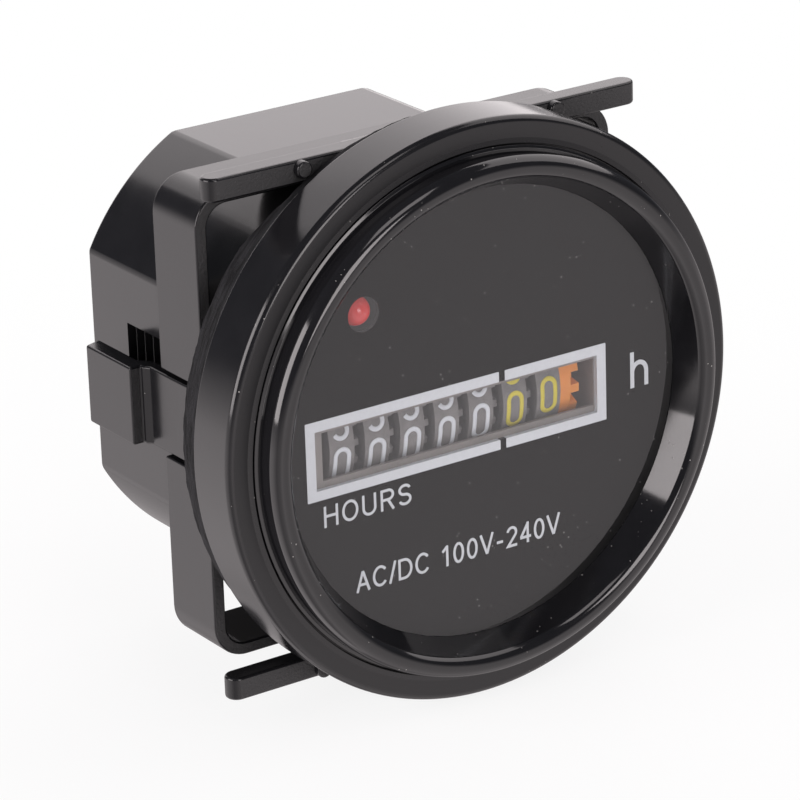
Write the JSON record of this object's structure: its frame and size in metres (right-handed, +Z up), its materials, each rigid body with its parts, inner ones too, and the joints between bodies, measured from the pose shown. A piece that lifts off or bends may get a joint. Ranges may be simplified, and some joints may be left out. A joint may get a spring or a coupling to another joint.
{
  "type": "hour meter",
  "caption": "Round panel hour meter with a number-drum counter behind a clear lens, an indicator lamp, rear spade terminals and a sliding ratchet bracket that clamps it in a panel hole.",
  "frame": {"origin": "centre of the bounding box, on the axis of the round flange", "axes": "+X right and +Z up as the dial is read, +Y to the rear along the axis of the case"},
  "size_m": [0.0595, 0.0484, 0.0594],
  "materials": {
    "case_black": "satin black moulding",
    "ring_gloss": "polished black moulding",
    "lens_clear": "clear polished plastic",
    "dial_black": "black with white print",
    "support_black": "satin black moulding",
    "foam": "closed-cell foam",
    "bracket_black": "satin black nylon",
    "frame_grey": "grey-brown moulding",
    "drum_black": "black with printed figures",
    "drive_orange": "orange moulding",
    "gear_natural": "natural acetal",
    "steel": "ground steel",
    "magnet": "dark sintered magnet",
    "stator": "stamped soft iron",
    "bobbin": "natural nylon",
    "copper": "enamelled copper wire",
    "board": "green lacquered board",
    "lamp_red": "tinted clear resin",
    "tin": "tin plate",
    "sleeve_blue": "shrunk sleeve",
    "chip_black": "moulded epoxy",
    "resistor_tan": "lacquered"
  },
  "bodies": {
    "case": {"housing": "case_black", "lens_ring": "ring_gloss", "lens": "lens_clear", "dial_plate": "dial_black", "dial_support": "support_black", "gasket": "foam", "counter_frame": "frame_grey", "drum_shaft": "steel", "pinion_shaft": "steel", "arbor_a": "steel", "arbor_b": "steel", "stator_core": "stator", "coil_bobbin": "bobbin", "coil_winding": "copper", "coil_pin_left": "tin", "coil_pin_right": "tin", "circuit_board": "board", "led": "lamp_red", "led_lead_left": "tin", "led_lead_right": "tin", "terminal_left": "tin", "terminal_right": "tin", "capacitor": "sleeve_blue", "crystal": "tin", "chip": "chip_black", "resistor": "resistor_tan"},
    "bracket": {"mounting_bracket": "bracket_black"},
    "hundredths_drum": {"drum_7": "drum_black", "drive_wheel": "drive_orange"},
    "gear_a": {"gear_a": "gear_natural"},
    "gear_b": {"gear_b": "gear_natural"},
    "rotor": {"rotor": "gear_natural", "rotor_magnet": "magnet"},
    "ten_thousands_drum": {"drum_1": "drum_black"},
    "thousands_drum": {"drum_2": "drum_black"},
    "hundreds_drum": {"drum_3": "drum_black"},
    "tens_drum": {"drum_4": "drum_black"},
    "units_drum": {"drum_5": "drum_black"},
    "tenths_drum": {"drum_6": "drum_black"},
    "transfer_pinion_1": {"transfer_pinion_1": "gear_natural"},
    "transfer_pinion_2": {"transfer_pinion_2": "gear_natural"},
    "transfer_pinion_3": {"transfer_pinion_3": "gear_natural"},
    "transfer_pinion_4": {"transfer_pinion_4": "gear_natural"},
    "transfer_pinion_5": {"transfer_pinion_5": "gear_natural"},
    "transfer_pinion_6": {"transfer_pinion_6": "gear_natural"}
  },
  "joints": [
    {"name": "bracket_slide", "type": "slide", "parent": "case", "child": "bracket", "axis": [0, 1, 0], "range_m": [0, 0.0096]},
    {"name": "hundredths_turn", "type": "hinge", "parent": "case", "child": "hundredths_drum", "pos_m": [0, -0.01213, -0.0006], "axis": [-1, 0, 0], "continuous": true},
    {"name": "tenths_turn", "type": "hinge", "parent": "case", "child": "tenths_drum", "pos_m": [0, -0.01213, -0.0006], "axis": [-1, 0, 0], "continuous": true},
    {"name": "transfer_pinion_6_turn", "type": "hinge", "parent": "case", "child": "transfer_pinion_6", "pos_m": [0, -0.00373, -0.0006], "axis": [-1, 0, 0], "continuous": true},
    {"name": "units_turn", "type": "hinge", "parent": "case", "child": "units_drum", "pos_m": [0, -0.01213, -0.0006], "axis": [-1, 0, 0], "continuous": true},
    {"name": "transfer_pinion_5_turn", "type": "hinge", "parent": "case", "child": "transfer_pinion_5", "pos_m": [0, -0.00373, -0.0006], "axis": [-1, 0, 0], "continuous": true},
    {"name": "tens_turn", "type": "hinge", "parent": "case", "child": "tens_drum", "pos_m": [0, -0.01213, -0.0006], "axis": [-1, 0, 0], "continuous": true},
    {"name": "transfer_pinion_4_turn", "type": "hinge", "parent": "case", "child": "transfer_pinion_4", "pos_m": [0, -0.00373, -0.0006], "axis": [-1, 0, 0], "continuous": true},
    {"name": "hundreds_turn", "type": "hinge", "parent": "case", "child": "hundreds_drum", "pos_m": [0, -0.01213, -0.0006], "axis": [-1, 0, 0], "continuous": true},
    {"name": "transfer_pinion_3_turn", "type": "hinge", "parent": "case", "child": "transfer_pinion_3", "pos_m": [0, -0.00373, -0.0006], "axis": [-1, 0, 0], "continuous": true},
    {"name": "thousands_turn", "type": "hinge", "parent": "case", "child": "thousands_drum", "pos_m": [0, -0.01213, -0.0006], "axis": [-1, 0, 0], "continuous": true},
    {"name": "transfer_pinion_2_turn", "type": "hinge", "parent": "case", "child": "transfer_pinion_2", "pos_m": [0, -0.00373, -0.0006], "axis": [-1, 0, 0], "continuous": true},
    {"name": "ten_thousands_turn", "type": "hinge", "parent": "case", "child": "ten_thousands_drum", "pos_m": [0, -0.01213, -0.0006], "axis": [-1, 0, 0], "continuous": true},
    {"name": "transfer_pinion_1_turn", "type": "hinge", "parent": "case", "child": "transfer_pinion_1", "pos_m": [0, -0.00373, -0.0006], "axis": [-1, 0, 0], "continuous": true},
    {"name": "gear_b_turn", "type": "hinge", "parent": "case", "child": "gear_b", "pos_m": [0, -0.0057, 0.00653], "axis": [-1, 0, 0], "continuous": true},
    {"name": "gear_a_turn", "type": "hinge", "parent": "case", "child": "gear_a", "pos_m": [0, 0.0023, 0.00653], "axis": [-1, 0, 0], "continuous": true},
    {"name": "rotor_turn", "type": "hinge", "parent": "case", "child": "rotor", "pos_m": [0, 0.00416, -0.00042], "axis": [-1, 0, 0], "continuous": true}
  ],
  "couplings": [
    {"joint": "tenths_turn", "follows": "hundredths_turn", "ratio": 0.1},
    {"joint": "transfer_pinion_6_turn", "follows": "hundredths_turn", "ratio": -0.25},
    {"joint": "units_turn", "follows": "hundredths_turn", "ratio": 0.01},
    {"joint": "transfer_pinion_5_turn", "follows": "hundredths_turn", "ratio": -0.025},
    {"joint": "tens_turn", "follows": "hundredths_turn", "ratio": 0.001},
    {"joint": "transfer_pinion_4_turn", "follows": "hundredths_turn", "ratio": -0.0025},
    {"joint": "hundreds_turn", "follows": "hundredths_turn", "ratio": 0.0001},
    {"joint": "transfer_pinion_3_turn", "follows": "hundredths_turn", "ratio": -0.00025},
    {"joint": "thousands_turn", "follows": "hundredths_turn", "ratio": 0.00001},
    {"joint": "transfer_pinion_2_turn", "follows": "hundredths_turn", "ratio": -0.000025},
    {"joint": "ten_thousands_turn", "follows": "hundredths_turn", "ratio": 0.000001},
    {"joint": "transfer_pinion_1_turn", "follows": "hundredths_turn", "ratio": -0.0000025},
    {"joint": "gear_b_turn", "follows": "hundredths_turn", "ratio": -2},
    {"joint": "gear_a_turn", "follows": "hundredths_turn", "ratio": 8},
    {"joint": "rotor_turn", "follows": "hundredths_turn", "ratio": -40}
  ]
}
